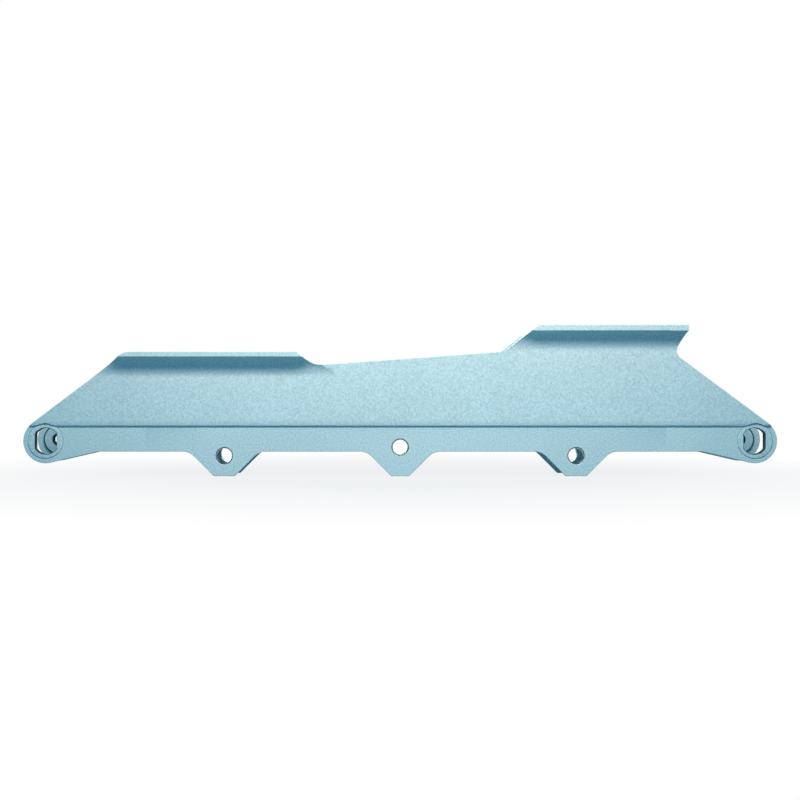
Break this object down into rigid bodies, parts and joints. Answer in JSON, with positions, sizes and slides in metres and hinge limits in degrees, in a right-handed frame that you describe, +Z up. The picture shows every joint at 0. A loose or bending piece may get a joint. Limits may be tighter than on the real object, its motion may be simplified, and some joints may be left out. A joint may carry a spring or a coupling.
{
  "type": "inline skate frame",
  "caption": "Machined aluminium inline skate frame: a wheel channel between two side plates, with stepped mounting decks for the boot and turning end axle bushes.",
  "frame": {"origin": "middle of the frame's length and width, on the surface that the lug feet stand on", "axes": "+X along the frame towards the heel, +Y across it away from the side with the axle windows, +Z up towards the boot"},
  "size_m": [0.3534, 0.0494, 0.0706],
  "materials": {
    "anodised_plate": "bead-blasted, pale blue anodised",
    "anodised_bush": "turned, pale blue anodised",
    "steel": "plain, bright",
    "spring_steel": "blued"
  },
  "bodies": {
    "frame": {"left_side_plate": "anodised_plate", "right_side_plate": "anodised_plate", "front_deck": "anodised_plate", "rear_deck": "anodised_plate", "front_deck_screws": "steel", "rear_deck_screws": "steel", "axle_2_insert": "steel", "axle_3_insert": "steel", "axle_4_insert": "steel"},
    "front_left_bush": {"front_window_bush": "anodised_bush", "front_window_ring": "spring_steel"},
    "front_right_bush": {"front_thread_bush": "anodised_bush", "front_thread_ring": "spring_steel"},
    "rear_left_bush": {"rear_window_bush": "anodised_bush", "rear_window_ring": "spring_steel"},
    "rear_right_bush": {"rear_thread_bush": "anodised_bush", "rear_thread_ring": "spring_steel"}
  },
  "joints": [
    {"name": "front_thread_bush_turn", "type": "hinge", "parent": "frame", "child": "front_right_bush", "pos_m": [-0.1663, 0.0145, 0.01645], "axis": [0, 1, 0], "continuous": true},
    {"name": "front_window_bush_turn", "type": "hinge", "parent": "frame", "child": "front_left_bush", "pos_m": [-0.1663, -0.0145, 0.01645], "axis": [0, 1, 0], "continuous": true},
    {"name": "rear_thread_bush_turn", "type": "hinge", "parent": "frame", "child": "rear_right_bush", "pos_m": [0.1663, 0.0145, 0.01645], "axis": [0, 1, 0], "continuous": true},
    {"name": "rear_window_bush_turn", "type": "hinge", "parent": "frame", "child": "rear_left_bush", "pos_m": [0.1663, -0.0145, 0.01645], "axis": [0, 1, 0], "continuous": true}
  ]
}
